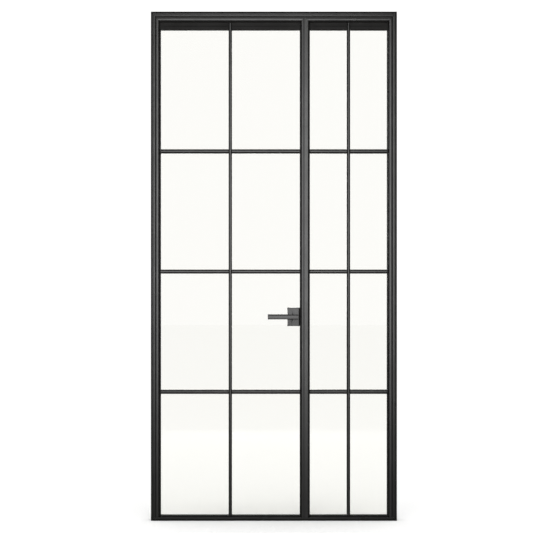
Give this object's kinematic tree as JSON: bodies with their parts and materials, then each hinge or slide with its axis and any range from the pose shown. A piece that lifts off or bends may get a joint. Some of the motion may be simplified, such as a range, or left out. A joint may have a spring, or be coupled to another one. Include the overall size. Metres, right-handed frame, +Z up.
{
  "type": "glazed door with sidelight",
  "caption": "Tall slim black metal door set: a hinged glass leaf and a narrow fixed sidelight, split into panes by thin glazing bars, with a lever handle.",
  "frame": {"origin": "middle of the underside of the sill, at half the depth of the frame", "axes": "+Z up, +X towards the fixed sidelight, +Y towards the hinge barrels and the side that the leaf swings to"},
  "size_m": [1.203, 0.138, 2.49],
  "materials": {
    "frame_coat": "satin black powder coat",
    "sash_coat": "satin black powder coat",
    "grille_coat": "satin black powder coat",
    "handle_coat": "satin black lacquer",
    "hinge_coat": "satin black powder coat",
    "steel": "brushed",
    "screw_steel": "black zinc",
    "cleat_metal": "mill",
    "pane_glass": "clear polished",
    "gasket_rubber": "matt",
    "packer_plastic": "moulded"
  },
  "bodies": {
    "frame": {"frame_jamb_left": "frame_coat", "frame_jamb_right": "frame_coat", "frame_head": "frame_coat", "frame_sill": "frame_coat", "mullion": "frame_coat", "sidelight_stile_left": "sash_coat", "sidelight_stile_right": "sash_coat", "sidelight_top_rail": "sash_coat", "sidelight_bottom_rail": "sash_coat", "sidelight_top_bead": "sash_coat", "sidelight_fixing_plates": "sash_coat", "sidelight_front_bar": "grille_coat", "sidelight_front_cross_bars": "grille_coat", "sidelight_rear_bar": "grille_coat", "sidelight_rear_cross_bars": "grille_coat", "hinge_top_frame_wing": "hinge_coat", "hinge_middle_frame_wing": "hinge_coat", "hinge_bottom_frame_wing": "hinge_coat", "strike_plate": "steel", "hinge_pins": "steel", "frame_screws": "screw_steel", "frame_corner_cleats": "cleat_metal", "sidelight_glass": "pane_glass", "frame_seals": "gasket_rubber", "sidelight_seal_front": "gasket_rubber", "sidelight_seal_rear": "gasket_rubber", "sidelight_packers": "packer_plastic", "sidelight_setting_blocks": "packer_plastic"},
    "leaf": {"leaf_stile_hinge": "sash_coat", "leaf_stile_lock": "sash_coat", "leaf_top_rail": "sash_coat", "leaf_bottom_rail": "sash_coat", "leaf_top_bead": "sash_coat", "leaf_front_bar": "grille_coat", "leaf_front_cross_bars": "grille_coat", "leaf_rear_bar": "grille_coat", "leaf_rear_cross_bars": "grille_coat", "leaf_screws": "screw_steel", "leaf_glass": "pane_glass", "leaf_seal_front": "gasket_rubber", "leaf_seal_rear": "gasket_rubber", "leaf_setting_blocks": "packer_plastic", "hinge_top_leaf_wing": "hinge_coat", "hinge_middle_leaf_wing": "hinge_coat", "hinge_bottom_leaf_wing": "hinge_coat", "lock_case": "handle_coat", "lock_case_lid": "handle_coat", "lock_faceplate": "steel", "lock_cover_front": "handle_coat", "lock_cover_rear": "handle_coat", "lock_cover_screws": "screw_steel", "lock_strips": "gasket_rubber"},
    "lever_set": {"lever_front": "handle_coat", "lever_rear": "handle_coat", "spindle": "steel", "lock_follower": "steel"},
    "latch_bolt": {"latch_bolt": "steel"}
  },
  "joints": [
    {"name": "leaf_swing", "type": "hinge", "parent": "frame", "child": "leaf", "pos_m": [-0.573, 0.048, 0], "axis": [0, 0, 1], "range_deg": [0, 110]},
    {"name": "lever_turn", "type": "hinge", "parent": "leaf", "child": "lever_set", "pos_m": [0.095, 0.021, 0.996], "axis": [0, -1, 0], "range_deg": [0, 45], "stiffness_Nm_per_rad": 1.5, "springref_deg": -34.38},
    {"name": "latch_slide", "type": "slide", "parent": "leaf", "child": "latch_bolt", "axis": [-1, 0, 0], "range_m": [0, 0.0105]}
  ],
  "couplings": [
    {"joint": "latch_slide", "follows": "lever_turn", "m_per_rad": 0.01336}
  ]
}
